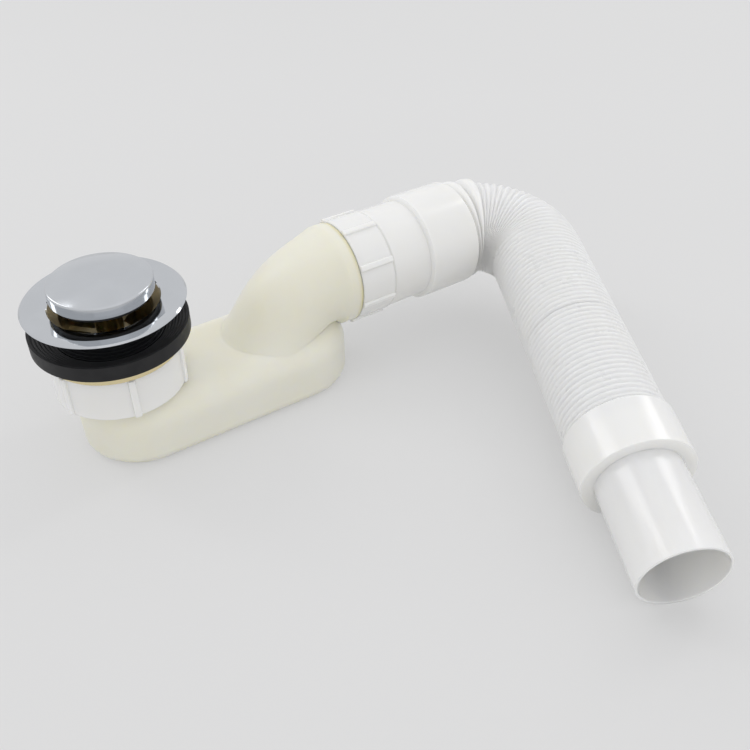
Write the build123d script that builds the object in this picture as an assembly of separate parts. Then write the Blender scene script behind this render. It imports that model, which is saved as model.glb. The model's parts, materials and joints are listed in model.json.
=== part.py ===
from build123d import *
import math
import os

# Low-profile flexible trap for a bath or shower tray, in millimetres.
# The origin is on the floor under the waste's axis, +X runs to the outlet and +Z is up.

# Flat trap chamber with its rising elbow
BODY_HALF_WIDTH = 28.5
BODY_SET_IN = 6.5
BODY_REACH = 78.5
BODY_HEIGHT = 31.0
BODY_WALL = 2.6
BODY_TOP_ROUND = 12.0
BODY_FOOT_ROUND = 5.5
NECK_RADIUS = 21.0
NECK_RIM_RADIUS = 23.4
NECK_RIM_THICKNESS = 2.5
NECK_RISE = 6.5
ELBOW_RADIUS = 21.8
ELBOW_FOOT_FLARE = 5.0
ELBOW_FLARE_POWER = 8
ELBOW_BEND = 33.0
ELBOW_SET_BACK = 37.5
ELBOW_STEPS = 12
OUTLET_HEIGHT = 48.5
COLLAR_RADIUS = 25.0
COLLAR_WIDTH = 6.0
OUTLET_THREAD_RADIUS = 22.6
OUTLET_THREAD_LENGTH = 11.0

# Pop-up waste
FLANGE_RADIUS = 35.0
FLANGE_RIM = 1.4
FLANGE_DISH_RADIUS = 30.5
FLANGE_DISH = 0.8
THROAT_RADIUS = 24.0
SEAT_DEPTH = 5.0
WASTE_BORE_RADIUS = 20.0
TAIL_RADIUS = 23.9
CLAMP_GAP = 9.8
SPIDER_ARMS = 4
SPIDER_ARM_WIDTH = 3.0
SPIDER_ARM_HEIGHT = 6.0
SPIDER_BOSS_RADIUS = 9.0

# Plug and its spring cartridge
CAP_RADIUS = 22.3
CAP_SIDE = 5.4
CAP_DOME_RISE = 3.4
CAP_EDGE_ROUND = 0.9
CAP_SHELL = 2.4
CAP_LIFT = 5.0
CAP_BOSS_RADIUS = 6.5
PLUG_SEAL_RADIUS = 21.0
PLUG_SEAL_WIDTH = 3.4
PLUG_SEAL_HEIGHT = 1.8
STEM_RADIUS = 3.0
PISTON_RADIUS = 4.0
PISTON_LENGTH = 5.0
CARTRIDGE_RADIUS = 6.0
CARTRIDGE_FLOOR = 2.0
CARTRIDGE_LENGTH = 20.0
SPRING_TURNS = 5
SPRING_WIRE_RADIUS = 0.4
SPRING_WIRE_SIDES = 6
SPRING_COIL_RADIUS = 3.0

# Sealing rings and nuts
WASHER_RADIUS = 34.5
WASHER_THICKNESS = 6.8
WASHER_DISH = 4.2
WASHER_RIM = 1.2
WASHER_RIDGES = 6
WASHER_RIDGE_HEIGHT = 0.5
BACK_NUT_RADIUS = 29.8
BACK_NUT_HEIGHT = 5.6
BACK_NUT_NOTCHES = 2
BACK_NUT_NOTCH = 5.0
BACK_NUT_TURN = -13.0
GASKET_THICKNESS = 2.5
INLET_NUT_RADIUS = 29.2
INLET_NUT_HEIGHT = 19.4
INLET_NUT_LIP = 2.0
OUTLET_NUT_RADIUS = 25.4
OUTLET_NUT_LENGTH = 18.0
OUTLET_NUT_LIP = 2.6
INLET_NUT_RIBS = 6
OUTLET_NUT_RIBS = 8
NUT_RIB_WIDTH = 3.2
NUT_RIB_HEIGHT = 1.2
NUT_EDGE_ROUND = 0.8
INLET_RIB_TURN = 23.0
OUTLET_RIB_TURN = 15.5

# Flexible hose with its two moulded cuffs
HOSE_CREST_RADIUS = 23.5
HOSE_VALLEY_RADIUS = 22.7
HOSE_BORE_RADIUS = 21.3
HOSE_PITCH = 2.8
HOSE_LEAD = 1.4
HOSE_BEND_RADIUS = 28.6
HOSE_TURN = 114.0
HOSE_RUN_RIDGES = 43
COARSE_RIDGES = 2
COARSE_PITCH = 7.5
COARSE_CREST_RADIUS = 25.6
CUFF_RADIUS = 24.9
CUFF_LENGTH = 22.9
CUFF_FLARE_RADIUS = 27.0
CUFF_FLARE_LENGTH = 28.5
CUFF_EDGE_ROUND = 1.2
CUFF_WALL = 3.0
CUFF_TAIL_RADIUS = 19.0
CUFF_TAIL_RIM_RADIUS = 21.8
CUFF_TAIL_BORE_RADIUS = 16.4
HOSE_TUCK = 6.0
END_CUFF_RADIUS = 24.7
END_CUFF_LENGTH = 25.0
SPIGOT_RADIUS = 19.05
SPIGOT_LENGTH = 46.5
SPIGOT_BORE_RADIUS = 18.0

# Clearances
FREE_GAP = 0.3
THREAD_GAP = 0.15
SLIDE_GAP = 0.05

# Levels of the stack on the waste's axis, from the floor up
NECK_TOP = BODY_HEIGHT + NECK_RISE
TAIL_BOTTOM = NECK_TOP + GASKET_THICKNESS
NUT_BOTTOM = NECK_TOP - NECK_RIM_THICKNESS - INLET_NUT_LIP - FREE_GAP
NUT_TOP = NUT_BOTTOM + INLET_NUT_HEIGHT
BACK_NUT_BOTTOM = NUT_TOP + FREE_GAP
WASHER_BOTTOM = BACK_NUT_BOTTOM + BACK_NUT_HEIGHT
WASHER_TOP = WASHER_BOTTOM + WASHER_THICKNESS
FLANGE_BOTTOM = WASHER_TOP + CLAMP_GAP
FLANGE_TOP = FLANGE_BOTTOM + FLANGE_RIM
THROAT_LEVEL = FLANGE_TOP - FLANGE_DISH
SEAT_BOTTOM = THROAT_LEVEL - SEAT_DEPTH
CAP_RIM = THROAT_LEVEL + CAP_LIFT
CAP_CEILING = CAP_RIM + CAP_SIDE - CAP_SHELL
SEAL_BOTTOM = CAP_RIM - PLUG_SEAL_HEIGHT
SEAT_SLOPE = SEAT_DEPTH / (THROAT_RADIUS - WASTE_BORE_RADIUS)
SEAL_CLOSED = SEAT_BOTTOM + (PLUG_SEAL_RADIUS - WASTE_BORE_RADIUS) * SEAT_SLOPE + 2 * FREE_GAP
PLUG_TRAVEL = SEAL_BOTTOM - SEAL_CLOSED
CARTRIDGE_TOP = SEAT_BOTTOM - FREE_GAP
CARTRIDGE_BOTTOM = CARTRIDGE_TOP - CARTRIDGE_LENGTH
SPRING_SEAT = CARTRIDGE_BOTTOM + CARTRIDGE_FLOOR
SPRING_SOLID = 2 * SPRING_WIRE_RADIUS * (SPRING_TURNS + 1)
SPRING_LENGTH = SPRING_SOLID + PLUG_TRAVEL + FREE_GAP
PISTON_BOTTOM = SPRING_SEAT + SPRING_LENGTH
SPIDER_BOTTOM = SPRING_SEAT
SPIDER_TOP = SPIDER_BOTTOM + SPIDER_ARM_HEIGHT

# Stations along the outlet's axis, from the waste's axis outwards
BODY_END = BODY_SET_IN + BODY_REACH + BODY_HALF_WIDTH
ELBOW_POSITION = BODY_END - ELBOW_SET_BACK
ELBOW_HUB_LEVEL = OUTLET_HEIGHT - ELBOW_BEND
ELBOW_HEEL_RADIUS = ELBOW_BEND + ELBOW_RADIUS + ELBOW_FOOT_FLARE
ELBOW_FOOT_ANGLE = math.asin((BODY_HEIGHT - BODY_WALL / 2 - ELBOW_HUB_LEVEL) / ELBOW_HEEL_RADIUS)
COLLAR_START = ELBOW_POSITION + ELBOW_BEND
COLLAR_END = COLLAR_START + COLLAR_WIDTH
OUTLET_END = COLLAR_END + OUTLET_THREAD_LENGTH
OUTLET_NUT_START = COLLAR_END + FREE_GAP
OUTLET_NUT_END = OUTLET_NUT_START + OUTLET_NUT_LENGTH
CUFF_RIM_START = OUTLET_END + GASKET_THICKNESS
CUFF_RIM_END = OUTLET_NUT_END - OUTLET_NUT_LIP - FREE_GAP
CUFF_START = OUTLET_NUT_END + FREE_GAP
CUFF_SHOULDER = CUFF_START + CUFF_LENGTH
CUFF_END = CUFF_SHOULDER + CUFF_FLARE_LENGTH
BEND_START = CUFF_END + HOSE_LEAD
OUTLET_BORE_RADIUS = ELBOW_RADIUS - BODY_WALL
HOSE_SOCKET_RADIUS = HOSE_VALLEY_RADIUS + SLIDE_GAP
HOSE_RUN = HOSE_RUN_RIDGES * HOSE_PITCH


def solve_droop():
    """Angle by which the hose slopes down, so that the spigot's lower edge lies on the floor."""
    droop = 0.0
    for _ in range(40):
        turn = math.acos(math.cos(math.radians(HOSE_TURN)) * math.cos(droop))
        tangent = HOSE_BEND_RADIUS * math.tan(turn / 2)
        reach = tangent + HOSE_RUN + END_CUFF_LENGTH + SPIGOT_LENGTH
        span = math.hypot(reach, SPIGOT_RADIUS)
        droop = math.asin(OUTLET_HEIGHT / span) - math.atan2(SPIGOT_RADIUS, reach)
    return droop


# The hose lies in one plane, which leans from the outlet's axis down to the floor.
DROOP = solve_droop()
PLAN_TURN = math.radians(-HOSE_TURN)
ALONG_OUTLET = Vector(1, 0, 0)
ALONG_PLAN = Vector(math.cos(PLAN_TURN), math.sin(PLAN_TURN), 0)
ALONG_RUN = ALONG_PLAN * math.cos(DROOP) - Vector(0, 0, 1) * math.sin(DROOP)
BEND_ANGLE = math.acos(ALONG_OUTLET.dot(ALONG_RUN))
BEND_INWARD = (ALONG_RUN - ALONG_OUTLET * ALONG_OUTLET.dot(ALONG_RUN)).normalized()
BEND_CENTRE = Vector(BEND_START, 0, OUTLET_HEIGHT) + BEND_INWARD * HOSE_BEND_RADIUS
BEND_LENGTH = HOSE_BEND_RADIUS * BEND_ANGLE
HOSE_LENGTH = HOSE_LEAD + BEND_LENGTH + HOSE_RUN
COARSE_LENGTH = COARSE_RIDGES * COARSE_PITCH
FINE_RIDGES = round((HOSE_LENGTH - COARSE_LENGTH) / HOSE_PITCH)


def hose_plane(distance):
    """Plane square to the hose's axis, at a distance along that axis from the inlet cuff."""
    angle = min(max(distance - HOSE_LEAD, 0) / HOSE_BEND_RADIUS, BEND_ANGLE)
    heading = ALONG_OUTLET * math.cos(angle) + BEND_INWARD * math.sin(angle)
    outward = ALONG_OUTLET * math.sin(angle) - BEND_INWARD * math.cos(angle)
    straight = min(distance - HOSE_LEAD, 0) + max(distance - HOSE_LEAD - BEND_LENGTH, 0)
    centre = BEND_CENTRE + outward * HOSE_BEND_RADIUS + heading * straight
    return Plane(origin=centre, x_dir=outward, z_dir=heading)


RUN_END = hose_plane(HOSE_LENGTH)
OUTLET_AXIS = Plane(origin=(0, 0, OUTLET_HEIGHT), x_dir=(0, 0, 1), z_dir=(1, 0, 0))


def turned(points):
    """Solid of revolution about Z from (radius, height) corners."""
    return revolve(Plane.XZ * make_face(Polyline(*points, close=True)), Axis.Z)


def ring(inner, outer, bottom, top):
    """Plain ring about Z."""
    return turned([(inner, bottom), (outer, bottom), (outer, top), (inner, top)])


def disc(radius, bottom, top):
    """Plain cylinder about Z."""
    return Pos(0, 0, bottom) * Cylinder(radius, top - bottom, align=(Align.CENTER, Align.CENTER, Align.MIN))


def obround(half_width, bottom, top):
    """Upright block with two round ends, the first of them set in a little from the waste's axis."""
    plan = SlotOverall(BODY_REACH + 2 * half_width, 2 * half_width)
    middle = Pos(BODY_SET_IN + BODY_REACH / 2, 0, bottom)
    return extrude(middle * plan, amount=top - bottom, dir=(0, 0, 1))


def rounded_chamber(inset):
    """The trap's flat chamber, or its hollow when drawn in by the wall."""
    block = obround(BODY_HALF_WIDTH - inset, inset, BODY_HEIGHT - inset)
    block = fillet(block.faces().sort_by(Axis.Z)[-1].edges(), BODY_TOP_ROUND - inset)
    return fillet(block.faces().sort_by(Axis.Z)[0].edges(), BODY_FOOT_ROUND - inset)


def elbow_turn(foot_angle, radius, flare, bell):
    """Round passage from the chamber to the outlet, widened by a flare at its foot and a bell at its end."""
    hub = Vector(COLLAR_START, 0, ELBOW_HUB_LEVEL)
    sections = []
    for index in range(ELBOW_STEPS + 1):
        share = index / ELBOW_STEPS
        angle = foot_angle + (math.pi / 2 - foot_angle) * share
        wider = flare * (1 - share) ** ELBOW_FLARE_POWER + bell * share ** ELBOW_FLARE_POWER
        heading = Vector(math.sin(angle), 0, math.cos(angle))
        outward = Vector(-math.cos(angle), 0, math.sin(angle))
        place = Plane(hub + outward * ELBOW_BEND, x_dir=outward, z_dir=heading)
        sections.append(place * Circle(radius + wider))
    return loft(sections)


def trap_body():
    """One hollow moulding: chamber, inlet neck, elbow, collar and threaded outlet."""
    neck = disc(NECK_RADIUS, BODY_HEIGHT / 2, NECK_TOP)
    neck += disc(NECK_RIM_RADIUS, NECK_TOP - NECK_RIM_THICKNESS, NECK_TOP)
    shell = rounded_chamber(0) + neck
    shell += elbow_turn(ELBOW_FOOT_ANGLE, ELBOW_RADIUS, ELBOW_FOOT_FLARE, COLLAR_RADIUS - ELBOW_RADIUS)
    shell += OUTLET_AXIS * disc(COLLAR_RADIUS, COLLAR_START, COLLAR_END)
    shell += OUTLET_AXIS * disc(OUTLET_THREAD_RADIUS, COLLAR_END, OUTLET_END)
    shell -= rounded_chamber(BODY_WALL)
    shell -= disc(NECK_RADIUS - BODY_WALL, BODY_HEIGHT / 2, NECK_TOP)
    shell -= elbow_turn(0, OUTLET_BORE_RADIUS, 0, 0)
    return shell - OUTLET_AXIS * disc(OUTLET_BORE_RADIUS, COLLAR_START, OUTLET_END)


def waste_body():
    """Chromed flange, neck and threaded tail in one casting, with a spider that holds the cartridge."""
    bevel = FLANGE_RIM / 2
    body = turned([
        (WASTE_BORE_RADIUS, TAIL_BOTTOM), (TAIL_RADIUS, TAIL_BOTTOM), (TAIL_RADIUS, FLANGE_BOTTOM),
        (FLANGE_RADIUS - bevel, FLANGE_BOTTOM), (FLANGE_RADIUS, FLANGE_BOTTOM + bevel),
        (FLANGE_RADIUS - bevel, FLANGE_TOP), (FLANGE_DISH_RADIUS, FLANGE_TOP),
        (THROAT_RADIUS, THROAT_LEVEL), (WASTE_BORE_RADIUS, SEAT_BOTTOM)])
    arm_reach = (WASTE_BORE_RADIUS + TAIL_RADIUS) / 2
    arm = Pos(0, 0, SPIDER_BOTTOM) * Box(
        arm_reach, SPIDER_ARM_WIDTH, SPIDER_ARM_HEIGHT, align=(Align.MIN, Align.CENTER, Align.MIN))
    for index in range(SPIDER_ARMS):
        body += Rot(0, 0, 45 + index * 360 / SPIDER_ARMS) * arm
    body += disc(SPIDER_BOSS_RADIUS, SPIDER_BOTTOM, SPIDER_TOP)
    return body - disc(CARTRIDGE_RADIUS, SPIDER_BOTTOM, SPIDER_TOP)


def plug_cap():
    """Domed cap, hollow below, with the boss that its stem is screwed into."""
    edge = CAP_RADIUS - CAP_EDGE_ROUND
    shoulder = CAP_RIM + CAP_SIDE
    crown = shoulder + CAP_DOME_RISE
    dome_radius = (edge ** 2 + CAP_DOME_RISE ** 2) / (2 * CAP_DOME_RISE)
    outline = [
        Line((0, CAP_CEILING), (CAP_RADIUS - CAP_SHELL, CAP_CEILING)),
        Line((CAP_RADIUS - CAP_SHELL, CAP_CEILING), (CAP_RADIUS - CAP_SHELL, CAP_RIM)),
        Line((CAP_RADIUS - CAP_SHELL, CAP_RIM), (CAP_RADIUS, CAP_RIM)),
        Line((CAP_RADIUS, CAP_RIM), (CAP_RADIUS, shoulder - CAP_EDGE_ROUND)),
        RadiusArc((CAP_RADIUS, shoulder - CAP_EDGE_ROUND), (edge, shoulder), -CAP_EDGE_ROUND),
        RadiusArc((edge, shoulder), (0, crown), -dome_radius),
        Line((0, crown), (0, CAP_CEILING)),
    ]
    cap = revolve(Plane.XZ * make_face(Wire(outline)), Axis.Z)
    boss = disc(CAP_BOSS_RADIUS, CAP_RIM, CAP_CEILING) - disc(STEM_RADIUS, CAP_RIM, CAP_CEILING)
    return cap + boss


def plug_seal():
    """Rubber ring under the cap's rim, which closes on the conical seat."""
    return ring(PLUG_SEAL_RADIUS - PLUG_SEAL_WIDTH, PLUG_SEAL_RADIUS, SEAL_BOTTOM, CAP_RIM)


def plug_stem():
    """Rod screwed into the cap, with the piston that runs in the cartridge."""
    rod = disc(STEM_RADIUS, PISTON_BOTTOM, CAP_CEILING)
    return rod + disc(PISTON_RADIUS - SLIDE_GAP, PISTON_BOTTOM, PISTON_BOTTOM + PISTON_LENGTH)


def cartridge():
    """Sleeve screwed into the spider, closed below."""
    sleeve = disc(CARTRIDGE_RADIUS, CARTRIDGE_BOTTOM, CARTRIDGE_TOP)
    return sleeve - disc(PISTON_RADIUS, SPRING_SEAT, CARTRIDGE_TOP)


def return_spring():
    """Coil between the cartridge's floor and the piston."""
    coil_height = SPRING_LENGTH - 2 * SPRING_WIRE_RADIUS - 2 * SLIDE_GAP
    path = Helix(coil_height / SPRING_TURNS, coil_height, SPRING_COIL_RADIUS)
    section = Plane(path @ 0, z_dir=path % 0) * RegularPolygon(SPRING_WIRE_RADIUS, SPRING_WIRE_SIDES)
    wire = sweep(section, path, is_frenet=True)
    return Pos(0, 0, SPRING_SEAT + SPRING_WIRE_RADIUS + SLIDE_GAP) * wire


def tub_washer():
    """Rubber washer whose ringed upper face is dished towards the neck."""
    inner = TAIL_RADIUS + FREE_GAP
    outer = WASHER_RADIUS - WASHER_RIM
    step = (outer - inner) / WASHER_RIDGES
    outline = [(inner, WASHER_BOTTOM), (WASHER_RADIUS, WASHER_BOTTOM)]
    outline += [(WASHER_RADIUS, WASHER_TOP), (outer, WASHER_TOP)]
    for index in range(1, 2 * WASHER_RIDGES + 1):
        radius = outer - index * step / 2
        level = WASHER_TOP - WASHER_DISH * (outer - radius) / (outer - inner)
        valley = WASHER_RIDGE_HEIGHT * (index % 2)
        outline.append((radius, level - valley))
    return turned(outline)


def back_nut():
    """Brass nut below the washer, notched for a spanner."""
    nut = ring(TAIL_RADIUS + THREAD_GAP, BACK_NUT_RADIUS, BACK_NUT_BOTTOM, WASHER_BOTTOM)
    depth = (BACK_NUT_RADIUS - TAIL_RADIUS) / 2
    notch = Pos(BACK_NUT_RADIUS, 0, BACK_NUT_BOTTOM) * Box(2 * depth, BACK_NUT_NOTCH, BACK_NUT_HEIGHT)
    for index in range(BACK_NUT_NOTCHES):
        nut -= Rot(0, 0, BACK_NUT_TURN + index * 360 / BACK_NUT_NOTCHES) * notch
    return nut


def ribbed(nut, radius, bottom, top, ribs, turn):
    """Adds the grip ribs to the outside of a nut that stands on Z."""
    embed = (2 * NUT_RIB_HEIGHT + NUT_RIB_WIDTH) / 2
    height = top - bottom
    rib = Pos(radius - embed, 0, bottom) * Box(
        embed + NUT_RIB_HEIGHT, NUT_RIB_WIDTH, height, align=(Align.MIN, Align.CENTER, Align.MIN))
    rib = fillet(rib.edges().filter_by(Axis.Z).group_by(Axis.X)[-1], NUT_EDGE_ROUND)
    for index in range(ribs):
        nut += Rot(0, 0, turn + index * 360 / ribs) * rib
    return nut


def inlet_nut():
    """White union nut: its lip pulls the trap's neck rim up against the waste's tail."""
    bore = TAIL_RADIUS + THREAD_GAP
    nut = ring(bore, INLET_NUT_RADIUS, NUT_BOTTOM, NUT_TOP)
    nut += ring(NECK_RADIUS + FREE_GAP, INLET_NUT_RADIUS, NUT_BOTTOM, NUT_BOTTOM + INLET_NUT_LIP)
    return ribbed(nut, INLET_NUT_RADIUS, NUT_BOTTOM, NUT_TOP, INLET_NUT_RIBS, INLET_RIB_TURN)


def inlet_gasket():
    """Flat ring between the trap's neck rim and the waste's tail."""
    return ring(NECK_RADIUS - BODY_WALL, NECK_RIM_RADIUS, NECK_TOP, TAIL_BOTTOM)


def outlet_nut():
    """White union nut on the trap's outlet thread, which holds the cuff's rim."""
    bore = OUTLET_THREAD_RADIUS + THREAD_GAP
    nut = ring(bore, OUTLET_NUT_RADIUS, OUTLET_NUT_START, OUTLET_NUT_END)
    lip_start = OUTLET_NUT_END - OUTLET_NUT_LIP
    nut += ring(CUFF_TAIL_RADIUS + FREE_GAP, OUTLET_NUT_RADIUS, lip_start, OUTLET_NUT_END)
    nut = ribbed(nut, OUTLET_NUT_RADIUS, OUTLET_NUT_START, OUTLET_NUT_END, OUTLET_NUT_RIBS, OUTLET_RIB_TURN)
    return OUTLET_AXIS * nut


def outlet_gasket():
    """Flat ring between the trap's outlet and the cuff's rim."""
    return OUTLET_AXIS * ring(OUTLET_BORE_RADIUS, CUFF_TAIL_RIM_RADIUS, OUTLET_END, CUFF_RIM_START - FREE_GAP)


def hose_inlet_cuff():
    """Moulded cuff: rim and tail inside the nut, then a sleeve that flares to take the hose."""
    socket = CUFF_END - HOSE_TUCK
    cuff = turned([
        (CUFF_TAIL_BORE_RADIUS, CUFF_RIM_START), (CUFF_TAIL_RIM_RADIUS, CUFF_RIM_START),
        (CUFF_TAIL_RIM_RADIUS, CUFF_RIM_END), (CUFF_TAIL_RADIUS, CUFF_RIM_END),
        (CUFF_TAIL_RADIUS, CUFF_START), (CUFF_RADIUS - CUFF_EDGE_ROUND, CUFF_START),
        (CUFF_RADIUS, CUFF_START + CUFF_EDGE_ROUND), (CUFF_RADIUS, CUFF_SHOULDER - CUFF_EDGE_ROUND),
        (CUFF_FLARE_RADIUS, CUFF_SHOULDER), (CUFF_FLARE_RADIUS, CUFF_END - CUFF_EDGE_ROUND),
        (CUFF_FLARE_RADIUS - CUFF_EDGE_ROUND, CUFF_END), (HOSE_SOCKET_RADIUS, CUFF_END),
        (HOSE_SOCKET_RADIUS, socket), (HOSE_BORE_RADIUS, socket),
        (HOSE_BORE_RADIUS, CUFF_START + CUFF_WALL + HOSE_BORE_RADIUS - CUFF_TAIL_BORE_RADIUS),
        (CUFF_TAIL_BORE_RADIUS, CUFF_START + CUFF_WALL)])
    return OUTLET_AXIS * cuff


def hose_profile():
    """Distance and radius of each ring of the hose: a few coarse ridges, then fine ones to the end."""
    rings = [(0, HOSE_VALLEY_RADIUS)]
    for index in range(COARSE_RIDGES):
        start = index * COARSE_PITCH
        rings.append((start + COARSE_PITCH / 4, COARSE_CREST_RADIUS))
        rings.append((start + COARSE_PITCH * 3 / 4, COARSE_CREST_RADIUS))
        rings.append((start + COARSE_PITCH, HOSE_VALLEY_RADIUS))
    pitch = (HOSE_LENGTH - COARSE_LENGTH) / FINE_RIDGES
    for index in range(FINE_RIDGES):
        start = COARSE_LENGTH + index * pitch
        rings.append((start + pitch / 2, HOSE_CREST_RADIUS))
        rings.append((start + pitch, HOSE_VALLEY_RADIUS))
    return rings


def flexible_hose():
    """Corrugated hose in one piece, with a plain end tucked into each cuff."""
    skin = loft([hose_plane(distance) * Circle(radius) for distance, radius in hose_profile()], ruled=True)
    lead = hose_plane(0) * disc(HOSE_VALLEY_RADIUS, -HOSE_TUCK, 0)
    tail = RUN_END * disc(HOSE_VALLEY_RADIUS, 0, HOSE_TUCK)
    bore = hose_plane(0) * disc(HOSE_BORE_RADIUS, -HOSE_TUCK, HOSE_LEAD)
    hub = Axis(BEND_CENTRE, ALONG_OUTLET.cross(BEND_INWARD))
    bore += revolve(hose_plane(HOSE_LEAD) * Circle(HOSE_BORE_RADIUS), hub, math.degrees(BEND_ANGLE))
    bore += RUN_END * disc(HOSE_BORE_RADIUS, -HOSE_RUN, HOSE_TUCK)
    return skin + lead + tail - bore


def outlet_spigot():
    """Moulded end: a sleeve that takes the hose, stepping down to the plain spigot."""
    lip = END_CUFF_LENGTH
    tip = lip + SPIGOT_LENGTH
    spigot = turned([
        (SPIGOT_BORE_RADIUS, lip - CUFF_WALL),
        (HOSE_BORE_RADIUS, lip - CUFF_WALL - HOSE_BORE_RADIUS + SPIGOT_BORE_RADIUS),
        (HOSE_BORE_RADIUS, HOSE_TUCK), (HOSE_SOCKET_RADIUS, HOSE_TUCK), (HOSE_SOCKET_RADIUS, 0),
        (END_CUFF_RADIUS - CUFF_EDGE_ROUND, 0), (END_CUFF_RADIUS, CUFF_EDGE_ROUND), (END_CUFF_RADIUS, lip),
        (SPIGOT_RADIUS, lip), (SPIGOT_RADIUS, tip), (SPIGOT_BORE_RADIUS, tip)])
    return RUN_END * spigot


PIECES = {
    "plug_cap": plug_cap,
    "plug_seal": plug_seal,
    "plug_stem": plug_stem,
    "cartridge": cartridge,
    "return_spring": return_spring,
    "waste_body": waste_body,
    "tub_washer": tub_washer,
    "back_nut": back_nut,
    "inlet_nut": inlet_nut,
    "inlet_gasket": inlet_gasket,
    "trap_body": trap_body,
    "outlet_nut": outlet_nut,
    "outlet_gasket": outlet_gasket,
    "hose_inlet_cuff": hose_inlet_cuff,
    "flexible_hose": flexible_hose,
    "outlet_spigot": outlet_spigot,
}


def main():
    os.makedirs("parts", exist_ok=True)
    for name, make in PIECES.items():
        export_step(make(), f"parts/{name}.step")


main()
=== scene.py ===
import json
import math

import bpy
from mathutils import Matrix, Vector


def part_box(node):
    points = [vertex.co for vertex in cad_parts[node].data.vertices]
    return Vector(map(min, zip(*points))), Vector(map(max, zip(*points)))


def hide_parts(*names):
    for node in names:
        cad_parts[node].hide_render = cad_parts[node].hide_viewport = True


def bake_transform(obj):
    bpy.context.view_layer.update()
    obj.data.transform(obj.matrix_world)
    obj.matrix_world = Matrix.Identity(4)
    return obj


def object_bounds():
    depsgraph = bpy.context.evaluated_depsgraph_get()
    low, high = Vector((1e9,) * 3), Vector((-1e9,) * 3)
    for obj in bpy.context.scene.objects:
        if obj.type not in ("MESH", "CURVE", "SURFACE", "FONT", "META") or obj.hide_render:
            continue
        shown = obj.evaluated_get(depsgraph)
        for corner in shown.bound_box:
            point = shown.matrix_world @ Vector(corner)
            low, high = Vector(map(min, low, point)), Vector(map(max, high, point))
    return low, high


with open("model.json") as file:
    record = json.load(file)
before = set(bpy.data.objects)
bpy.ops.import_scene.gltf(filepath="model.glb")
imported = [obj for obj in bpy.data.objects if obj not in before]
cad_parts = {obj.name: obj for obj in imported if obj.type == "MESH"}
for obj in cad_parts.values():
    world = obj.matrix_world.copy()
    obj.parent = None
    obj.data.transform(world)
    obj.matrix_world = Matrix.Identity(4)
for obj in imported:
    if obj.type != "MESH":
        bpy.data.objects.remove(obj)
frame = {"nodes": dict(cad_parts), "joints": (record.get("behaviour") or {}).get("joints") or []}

# Looks of the low-profile trap, in metres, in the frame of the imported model.

CAD_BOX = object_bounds()
MM = 0.001

# Camera fitted to the photograph
CAMERA_PLACE = Vector((-78.58, -330.49, 290.11)) * MM
CAMERA_YAW = math.radians(33.17)
CAMERA_PITCH = math.radians(38.84)
CAMERA_ROLL = math.radians(0.53)
FOCAL_PIXELS = 902.44
IMAGE_PIXELS = 750
SENSOR_WIDTH = 36.0
CAMERA_NEAR = 0.01

# Corrugated hose
HOSE_CREST_RADIUS = 23.5 * MM
HOSE_VALLEY_RADIUS = 22.7 * MM
HOSE_BORE_RADIUS = 21.3 * MM
HOSE_PITCH = 2.8 * MM
HOSE_TUCK = 6.0 * MM
COARSE_RIDGES = 2
COARSE_PITCH = 7.5 * MM
COARSE_CREST_RADIUS = 25.6 * MM
HOSE_SEGMENTS = 112
FINE_STEPS = 7
FINE_FLATNESS = 2.0
COARSE_STEPS = 14
COARSE_FLATNESS = 5.0
BORE_STEP = 6

# How far the bend's blend goes past its ends, and the tongues that lie under the seam of the two lengths
BEND_BLEND_REACH = 13.0 * MM
TONGUE_LENGTH = 4.0 * MM
TONGUE_DROP = 0.1 * MM

# Return spring inside the cartridge
SPRING_WIRE_RADIUS = 0.4 * MM
SPRING_TURNS = 5
SPRING_STEPS = 28
SPRING_SIDES = 10

# Linear colours
CREAM = (0.855, 0.845, 0.755)
CREAM_DEEP = (0.845, 0.825, 0.70)
# Painted light: a darker yellow for light soaking through the collar's thin edge, and its shade
CREAM_PAINTED_EDGE = (0.80, 0.73, 0.42)
CREAM_SOAK = (1.0, 0.93, 0.6)
WHITE = (0.88, 0.88, 0.865)
WHITE_WARM = (0.87, 0.865, 0.84)
WHITE_SOAK = (1.0, 0.98, 0.9)
CHROME = (0.58, 0.60, 0.625)
BRASS = (0.80, 0.69, 0.42)
BRASS_DARK = (0.34, 0.30, 0.21)
BRASS_DULL = (0.66, 0.55, 0.33)
RUBBER = (0.008, 0.008, 0.009)
RUBBER_WORN = (0.018, 0.018, 0.019)
STEEL = (0.5, 0.5, 0.52)
FLOOR = (0.73, 0.73, 0.73)
HORIZON = (0.83, 0.83, 0.84)
OVERHEAD = (0.88, 0.88, 0.89)

# Where the collar's painted edge light starts (yellow for light through the thin translucent edge, and
# shade), where the throat's bare brass starts and how much rougher it is
PAINTED_EDGE_START = 2.4 * MM
PAINTED_EDGE_FULL = 0.4 * MM
THROAT_MARGIN = 1.4 * MM
THROAT_DEPTH = 1.2 * MM
THROAT_FADE = 0.4 * MM
THROAT_ROUGHNESS = 0.38

# Floor, surround and lamps
FLOOR_GLOW = 0.5
FLOOR_HALF = 4.0
OVERHEAD_HEIGHT = 0.9

# Direction from the object, distance, width and height, and power of each lamp
LAMPS = {
    "window_left": ((-0.41, 0.68, 0.60), 1.3, (0.25, 0.7), 1.5),
    "window_right": ((0.76, 0.11, 0.63), 1.3, (0.18, 0.7), 1.3),
    "ceiling": ((0.0, -0.1, 1.0), 1.5, (1.6, 1.6), 0.6),
    "front_fill": ((-0.2, -0.9, 0.40), 1.5, (1.6, 1.0), 0.6),
}

NODES = frame["nodes"]
JOINTS = {joint["name"]: joint for joint in frame["joints"]}


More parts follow.
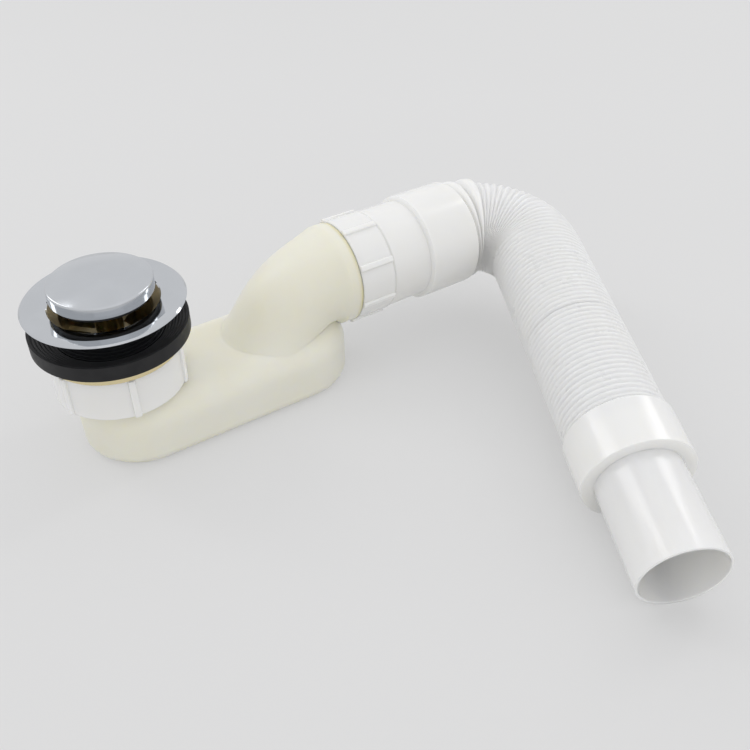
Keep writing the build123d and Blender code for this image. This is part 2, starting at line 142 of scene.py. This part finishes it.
class Shader:
    """A material with one Principled shader and short calls for the nodes that feed it."""

    def __init__(self, name):
        self.material = bpy.data.materials.new(name)
        self.material.use_nodes = True
        self.tree = self.material.node_tree
        self.surface = self.tree.nodes["Principled BSDF"]
        self.place = self.add("ShaderNodeTexCoord").outputs["Object"]

    def add(self, kind, **values):
        node = self.tree.nodes.new(kind)
        for name, value in values.items():
            setattr(node, name, value)
        return node

    def join(self, source, target):
        self.tree.links.new(source, target)

    def noise(self, scale, detail=3.0, roughness=0.5):
        node = self.add("ShaderNodeTexNoise")
        node.inputs["Scale"].default_value = scale
        node.inputs["Detail"].default_value = detail
        node.inputs["Roughness"].default_value = roughness
        self.join(self.place, node.inputs["Vector"])
        return node.outputs["Fac"]

    def ramp(self, source, low, high, start=0.35, end=0.65):
        """Colours from low to high as the source goes from start to end."""
        node = self.add("ShaderNodeValToRGB")
        node.color_ramp.elements[0].position = start
        node.color_ramp.elements[1].position = end
        node.color_ramp.elements[0].color = (*low, 1)
        node.color_ramp.elements[1].color = (*high, 1)
        self.join(source, node.inputs["Fac"])
        return node.outputs["Color"]

    def span(self, source, low, high, start=0.3, end=0.7):
        """Numbers from low to high as the source goes from start to end."""
        node = self.add("ShaderNodeMapRange")
        node.inputs["From Min"].default_value = start
        node.inputs["From Max"].default_value = end
        node.inputs["To Min"].default_value = low
        node.inputs["To Max"].default_value = high
        self.join(source, node.inputs["Value"])
        return node.outputs["Result"]

    def math(self, operation, first, second=None):
        node = self.add("ShaderNodeMath", operation=operation)
        self.join(first, node.inputs[0])
        if second is not None:
            self.join(second, node.inputs[1])
        return node.outputs["Value"]

    def mix(self, share, first, second):
        node = self.add("ShaderNodeMix", data_type="RGBA")
        self.join(share, node.inputs["Factor"])
        self.join(first, node.inputs[6])
        self.join(second, node.inputs[7])
        return node.outputs[2]

    def axes(self):
        node = self.add("ShaderNodeSeparateXYZ")
        self.join(self.place, node.inputs["Vector"])
        return node.outputs

    def bump(self, source, strength, distance):
        node = self.add("ShaderNodeBump")
        node.inputs["Strength"].default_value = strength
        node.inputs["Distance"].default_value = distance
        self.join(source, node.inputs["Height"])
        self.join(node.outputs["Normal"], self.surface.inputs["Normal"])
        return node

    def soften(self, bump, radius):
        """Rounds the look of the edges under a bump."""
        node = self.add("ShaderNodeBevel", samples=4)
        node.inputs["Radius"].default_value = radius
        self.join(node.outputs["Normal"], bump.inputs["Normal"])

    def feed(self, socket, source):
        self.join(source, self.surface.inputs[socket])

    def put(self, **values):
        for socket, value in values.items():
            self.surface.inputs[socket.replace("_", " ")].default_value = value


def moulded_plastic(name, light, deep, roughness, reach, soak, edge):
    """Milky moulded plastic: faint clouding, light that soaks in, a soft gloss and rounded edges."""
    shader = Shader(name)
    clouds = shader.noise(scale=28.0, detail=4.0)
    shader.feed("Base Color", shader.ramp(clouds, deep, light))
    gloss = shader.noise(scale=90.0)
    shader.feed("Roughness", shader.span(gloss, roughness * 0.8, roughness * 1.25))
    shader.put(Subsurface_Weight=0.8, Subsurface_Scale=reach, Subsurface_Radius=soak, IOR=1.49)
    grain = shader.noise(scale=420.0, detail=2.0)
    shader.soften(shader.bump(grain, strength=0.05, distance=0.05 * MM), edge)
    return shader


def white_plastic(name, roughness, reach, edge):
    """White moulding of the nuts, the cuffs or the hose."""
    return moulded_plastic(name, WHITE, WHITE_WARM, roughness, reach, WHITE_SOAK, edge).material


def trap_plastic():
    """Cream moulding with painted light along the collar's edge against the nut: a darker yellow that
    stands in for light soaking through the thin translucent edge, and its shade.
    """
    shader = moulded_plastic("cream_plastic", CREAM, CREAM_DEEP, roughness=0.36, reach=1.5 * MM,
                             soak=CREAM_SOAK, edge=1.5 * MM)
    collar_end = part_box("outlet_nut")[0].x
    along = shader.axes()[0]
    # Painted light: towards the collar's end the cream turns a darker yellow, standing in for light
    # through the thin translucent edge and its shade
    share = shader.span(along, 0.0, 1.0, collar_end - PAINTED_EDGE_START, collar_end - PAINTED_EDGE_FULL)
    cream = shader.surface.inputs["Base Color"].links[0].from_socket
    painted_edge = shader.ramp(shader.noise(scale=60.0), CREAM_PAINTED_EDGE, CREAM_DEEP, 0.4, 0.9)
    shader.feed("Base Color", shader.mix(share, cream, painted_edge))
    return shader.material


def plated_metal(name, tint, roughness):
    """Polished plating with a trace of haze."""
    shader = Shader(name)
    haze = shader.noise(scale=60.0, detail=5.0, roughness=0.6)
    shader.feed("Base Color", shader.ramp(haze, tuple(0.96 * value for value in tint), tint))
    shader.feed("Roughness", shader.span(haze, roughness * 0.7, roughness * 1.5))
    shader.put(Metallic=1.0)
    return shader


def throat_share(shader, radius, level):
    """1 inside a radius about the waste's axis and below a level, else 0."""
    x, y, z = shader.axes()
    square_x = shader.math("MULTIPLY", x, x)
    square_y = shader.math("MULTIPLY", y, y)
    distance = shader.math("SQRT", shader.math("ADD", square_x, square_y))
    inside = shader.span(distance, 1.0, 0.0, radius - THROAT_FADE / 2, radius + THROAT_FADE / 2)
    below = shader.span(z, 1.0, 0.0, level - THROAT_FADE, level)
    return shader.math("MULTIPLY", inside, below)


def waste_metal():
    """Chrome outside, with the unplated brass showing dark inside the throat."""
    shader = plated_metal("waste_chrome", CHROME, 0.07)
    throat_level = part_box("waste_body")[1].z - THROAT_DEPTH
    throat_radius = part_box("plug_cap")[1].x + THROAT_MARGIN
    share = throat_share(shader, throat_radius, throat_level)
    chrome = shader.surface.inputs["Base Color"].links[0].from_socket
    stains = shader.noise(scale=140.0, detail=4.0)
    brass = shader.ramp(stains, BRASS_DARK, BRASS_DULL, 0.35, 0.75)
    shader.feed("Base Color", shader.mix(share, chrome, brass))
    polish = shader.surface.inputs["Roughness"].links[0].from_socket
    dullness = shader.span(share, 0.0, THROAT_ROUGHNESS, 0.0, 1.0)
    shader.feed("Roughness", shader.math("ADD", polish, dullness))
    return shader.material


def turned_brass(name):
    """Brass with fine turning lines about Z."""
    shader = plated_metal(name, BRASS, 0.22)
    lines = shader.add("ShaderNodeTexWave", wave_type="BANDS", bands_direction="Z")
    lines.inputs["Scale"].default_value = 900.0
    lines.inputs["Distortion"].default_value = 0.6
    shader.join(shader.place, lines.inputs["Vector"])
    shader.bump(lines.outputs["Fac"], strength=0.15, distance=0.03 * MM)
    return shader.material


def black_rubber(name):
    """Matt rubber with a dusty bloom."""
    shader = Shader(name)
    bloom = shader.noise(scale=150.0, detail=5.0, roughness=0.65)
    shader.feed("Base Color", shader.ramp(bloom, RUBBER, RUBBER_WORN, 0.4, 0.75))
    shader.feed("Roughness", shader.span(bloom, 0.38, 0.6))
    shader.put(Specular_IOR_Level=0.3)
    grain = shader.noise(scale=900.0, detail=2.0)
    shader.bump(grain, strength=0.12, distance=0.05 * MM)
    return shader.material


def spring_steel(name):
    """Drawn wire."""
    return plated_metal(name, STEEL, 0.3).material


def floor_paper():
    """Pale sweep with the object's shadow, over a glow that shows directly and in reflections."""
    shader = Shader("floor_paper")
    shade = tuple(0.985 * value for value in FLOOR)
    shader.feed("Base Color", shader.ramp(shader.noise(scale=3.0), shade, FLOOR))
    shader.put(Roughness=0.9, Specular_IOR_Level=0.2)
    rays = shader.add("ShaderNodeLightPath").outputs
    seen = shader.math("MAXIMUM", rays["Is Camera Ray"], rays["Is Glossy Ray"])
    seen = shader.math("MAXIMUM", seen, rays["Is Transmission Ray"])
    glow = shader.add("ShaderNodeEmission")
    glow.inputs["Color"].default_value = (*FLOOR, 1)
    blend = shader.add("ShaderNodeMixShader")
    shader.join(shader.span(seen, 0.0, FLOOR_GLOW, 0.0, 1.0), blend.inputs[0])
    shader.join(shader.surface.outputs["BSDF"], blend.inputs[1])
    shader.join(glow.outputs["Emission"], blend.inputs[2])
    shader.join(blend.outputs["Shader"], shader.tree.nodes["Material Output"].inputs["Surface"])
    return shader.material


def dress(names, material):
    for name in names:
        NODES[name].data.materials.clear()
        NODES[name].data.materials.append(material)


def smooth_mesh(name, points, faces, material):
    mesh = bpy.data.meshes.new(name)
    mesh.from_pydata(points, [], faces)
    mesh.update()
    mesh.shade_smooth()
    mesh.materials.append(material)
    piece = bpy.data.objects.new(name, mesh)
    bpy.context.scene.collection.objects.link(piece)
    return piece


def ring_points(centre, side, up, radius, count):
    points = []
    for index in range(count):
        angle = 2 * math.pi * index / count
        points.append(centre + (side * math.cos(angle) + up * math.sin(angle)) * radius)
    return points


def skin(rings, count, closed):
    """Quads between neighbouring rings of points, and from the last ring to the first where closed."""
    faces = []
    pairs = len(rings) if closed else len(rings) - 1
    for index in range(pairs):
        here = index * count
        there = (index + 1) % len(rings) * count
        for step in range(count):
            after = (step + 1) % count
            faces.append((here + step, here + after, there + after, there + step))
    return faces


# The hose's axis: a short lead, one bend about the hinge and a straight run along the slide.
cuff_low, cuff_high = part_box("hose_inlet_cuff")
HOSE_START = Vector((cuff_high.x, 0, (cuff_low.z + cuff_high.z) / 2))
BEND_CENTRE = Vector(JOINTS["hose_bend"]["pos_m"])
BEND_AXIS = Vector(JOINTS["hose_bend"]["axis"]).normalized()
RUN_END = Vector(JOINTS["hose_extend"]["pos_m"])
ALONG_RUN = Vector(JOINTS["hose_extend"]["axis"]).normalized()
ALONG_OUTLET = Vector((1, 0, 0))
HOSE_LEAD = BEND_CENTRE.x - HOSE_START.x
BEND_START = HOSE_START + ALONG_OUTLET * HOSE_LEAD
BEND_RADIUS = (BEND_START - BEND_CENTRE).length
BEND_ANGLE = ALONG_OUTLET.angle(ALONG_RUN)
BEND_LENGTH = BEND_RADIUS * BEND_ANGLE
BEND_END = BEND_CENTRE + Matrix.Rotation(BEND_ANGLE, 3, BEND_AXIS) @ (BEND_START - BEND_CENTRE)
HOSE_LENGTH = HOSE_LEAD + BEND_LENGTH + (RUN_END - BEND_END).length
COARSE_LENGTH = COARSE_RIDGES * COARSE_PITCH
FINE_RIDGES = round((HOSE_LENGTH - COARSE_LENGTH) / HOSE_PITCH)
FINE_PITCH = (HOSE_LENGTH - COARSE_LENGTH) / FINE_RIDGES

# The bend's blend runs along its chord, and a ring of the run leans from that by half the bend's angle.
# The split lies where a whole ring is past the blend, so that both lengths move as one there.
RING_LEAN = BEND_ANGLE / 2
SPLIT_REACH = (BEND_BLEND_REACH + HOSE_CREST_RADIUS * math.sin(RING_LEAN)) / math.cos(RING_LEAN)
SPLIT_RIDGE = math.ceil((HOSE_LEAD + BEND_LENGTH + SPLIT_REACH - COARSE_LENGTH) / FINE_PITCH)
SPLIT_PLACE = COARSE_LENGTH + SPLIT_RIDGE * FINE_PITCH
TONGUE_RADIUS = HOSE_VALLEY_RADIUS - TONGUE_DROP


def hose_place(distance):
    """Centre and two side directions of the hose at a distance along its axis from the inlet cuff."""
    turn = min(max((distance - HOSE_LEAD) / BEND_RADIUS, 0.0), BEND_ANGLE)
    rotation = Matrix.Rotation(turn, 3, BEND_AXIS)
    straight = min(distance - HOSE_LEAD, 0.0) + max(distance - HOSE_LEAD - BEND_LENGTH, 0.0)
    centre = BEND_CENTRE + rotation @ (BEND_START - BEND_CENTRE) + rotation @ ALONG_OUTLET * straight
    return centre, rotation @ (BEND_START - BEND_CENTRE).normalized(), BEND_AXIS


def ridges(start, pitch, count, crest, steps, flatness):
    """Distance and radius of rings along round crests and narrow valleys, without the last valley."""
    stations = []
    for index in range(count * steps):
        share = index % steps / steps
        rise = 1 - abs(math.cos(math.pi * share)) ** flatness
        radius = HOSE_VALLEY_RADIUS + (crest - HOSE_VALLEY_RADIUS) * rise
        stations.append((start + index * pitch / steps, radius))
    return stations


def hose_piece(name, stations, material):
    """Closed length of hose from the distance and radius of its outer rings, with a plain bore."""
    inner = [(distance, HOSE_BORE_RADIUS) for distance, _ in stations[:-1:BORE_STEP] + stations[-1:]]
    rings = []
    for distance, radius in stations + inner[::-1]:
        rings.append(ring_points(*hose_place(distance), radius, HOSE_SEGMENTS))
    points = [point for ring in rings for point in ring]
    return smooth_mesh(name, points, skin(rings, HOSE_SEGMENTS, True), material)


def coil_spring(name, material):
    """Round-wire coil between the cartridge's floor and the piston."""
    low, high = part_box("return_spring")
    bottom = low.z + SPRING_WIRE_RADIUS
    rise = high.z - low.z - 2 * SPRING_WIRE_RADIUS
    radius = (high.x - low.x) / 2 - SPRING_WIRE_RADIUS
    rings = []
    steps = SPRING_TURNS * SPRING_STEPS
    for index in range(steps + 1):
        angle = 2 * math.pi * index / SPRING_STEPS
        outward = Vector((math.cos(angle), math.sin(angle), 0))
        centre = outward * radius + Vector((0, 0, bottom + rise * index / steps))
        rings.append(ring_points(centre, outward, Vector((0, 0, 1)), SPRING_WIRE_RADIUS, SPRING_SIDES))
    points = [point for ring in rings for point in ring]
    faces = skin(rings, SPRING_SIDES, False)
    last = len(points) - SPRING_SIDES
    faces.append(tuple(range(SPRING_SIDES)))
    faces.append(tuple(range(last, last + SPRING_SIDES)))
    return smooth_mesh(name, points, faces, material)


def add_hose(material):
    """Two lengths: the bend about the hinge, and the straight run along the slide."""
    coarse = ridges(0, COARSE_PITCH, COARSE_RIDGES, COARSE_CREST_RADIUS, COARSE_STEPS, COARSE_FLATNESS)
    turned = ridges(COARSE_LENGTH, FINE_PITCH, SPLIT_RIDGE, HOSE_CREST_RADIUS, FINE_STEPS, FINE_FLATNESS)
    inlet_tuck = [(-HOSE_TUCK, HOSE_VALLEY_RADIUS)]
    bend_tongue = [(SPLIT_PLACE, HOSE_VALLEY_RADIUS), (SPLIT_PLACE + TONGUE_LENGTH, TONGUE_RADIUS)]
    bend = hose_piece("hose_bend", inlet_tuck + coarse + turned + bend_tongue, material)
    left = FINE_RIDGES - SPLIT_RIDGE
    straight = ridges(SPLIT_PLACE, FINE_PITCH, left, HOSE_CREST_RADIUS, FINE_STEPS, FINE_FLATNESS)
    run_tongue = [(SPLIT_PLACE - TONGUE_LENGTH, TONGUE_RADIUS)]
    outlet_tuck = [(HOSE_LENGTH, HOSE_VALLEY_RADIUS), (HOSE_LENGTH + HOSE_TUCK, HOSE_VALLEY_RADIUS)]
    run = hose_piece("hose_run", run_tongue + straight + outlet_tuck, material)
    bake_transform(bend)
    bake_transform(run)
    for piece in (bend, run):
        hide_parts("flexible_hose")


def add_spring(material):
    coil = coil_spring("spring_coil", material)
    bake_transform(coil)
    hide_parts("return_spring")


def add_camera():
    forward = Vector((math.sin(CAMERA_YAW) * math.cos(CAMERA_PITCH),
                      math.cos(CAMERA_YAW) * math.cos(CAMERA_PITCH),
                      -math.sin(CAMERA_PITCH)))
    level = Vector((math.cos(CAMERA_YAW), -math.sin(CAMERA_YAW), 0))
    down = forward.cross(level)
    right = level * math.cos(CAMERA_ROLL) + down * math.sin(CAMERA_ROLL)
    up = level * math.sin(CAMERA_ROLL) - down * math.cos(CAMERA_ROLL)
    camera = bpy.data.objects.new("camera", bpy.data.cameras.new("camera"))
    camera.data.sensor_width = SENSOR_WIDTH
    camera.data.lens = FOCAL_PIXELS / IMAGE_PIXELS * SENSOR_WIDTH
    camera.data.clip_start = CAMERA_NEAR
    axes = Matrix((right, up, -forward)).transposed().to_4x4()
    camera.matrix_world = Matrix.Translation(CAMERA_PLACE) @ axes
    bpy.context.scene.collection.objects.link(camera)
    bpy.context.scene.camera = camera


def add_lamp(name, direction, distance, size, power):
    """Soft rectangular lamp that looks at the middle of the object."""
    middle = (CAD_BOX[0] + CAD_BOX[1]) / 2
    light = bpy.data.lights.new(name, "AREA")
    light.shape = "RECTANGLE"
    light.size = size[0]
    light.size_y = size[1]
    light.energy = power
    lamp = bpy.data.objects.new(name, light)
    away = Vector(direction).normalized()
    lamp.location = middle + away * distance
    lamp.rotation_mode = "QUATERNION"
    lamp.rotation_quaternion = away.to_track_quat("Z", "Y")
    bpy.context.scene.collection.objects.link(lamp)


def add_world():
    """Even studio surround, brighter overhead than at the horizon."""
    world = bpy.data.worlds.new("studio")
    world.use_nodes = True
    tree = world.node_tree
    place = tree.nodes.new("ShaderNodeTexCoord")
    axes = tree.nodes.new("ShaderNodeSeparateXYZ")
    ramp = tree.nodes.new("ShaderNodeValToRGB")
    ramp.color_ramp.elements[0].position = 0.0
    ramp.color_ramp.elements[0].color = (*HORIZON, 1)
    ramp.color_ramp.elements[1].position = OVERHEAD_HEIGHT
    ramp.color_ramp.elements[1].color = (*OVERHEAD, 1)
    tree.links.new(place.outputs["Generated"], axes.inputs["Vector"])
    tree.links.new(axes.outputs["Z"], ramp.inputs["Fac"])
    tree.links.new(ramp.outputs["Color"], tree.nodes["Background"].inputs["Color"])
    tree.nodes["Background"].inputs["Strength"].default_value = 1.0
    bpy.context.scene.world = world


def add_floor():
    corners = []
    for across, along in ((-1, -1), (1, -1), (1, 1), (-1, 1)):
        corners.append((across * FLOOR_HALF, along * FLOOR_HALF, 0))
    floor = smooth_mesh("floor", corners, [(0, 1, 2, 3)], floor_paper())


def main():
    white = white_plastic("white_plastic", roughness=0.17, reach=2.5 * MM, edge=0.5 * MM)
    hose_white = white_plastic("hose_plastic", roughness=0.32, reach=4.0 * MM, edge=0.3 * MM)
    rubber = black_rubber("black_rubber")
    brass = turned_brass("turned_brass")
    dress(["plug_cap"], plated_metal("cap_chrome", CHROME, 0.12).material)
    dress(["waste_body"], waste_metal())
    dress(["trap_body"], trap_plastic())
    dress(["inlet_nut", "outlet_nut", "hose_inlet_cuff", "outlet_spigot"], white)
    dress(["tub_washer", "plug_seal", "inlet_gasket", "outlet_gasket"], rubber)
    dress(["back_nut", "cartridge", "plug_stem"], brass)
    add_hose(hose_white)
    add_spring(spring_steel("spring_steel"))
    add_camera()
    add_world()
    add_floor()
    for name, values in LAMPS.items():
        add_lamp(name, *values)
    bpy.context.scene.view_settings.view_transform = "Standard"


main()
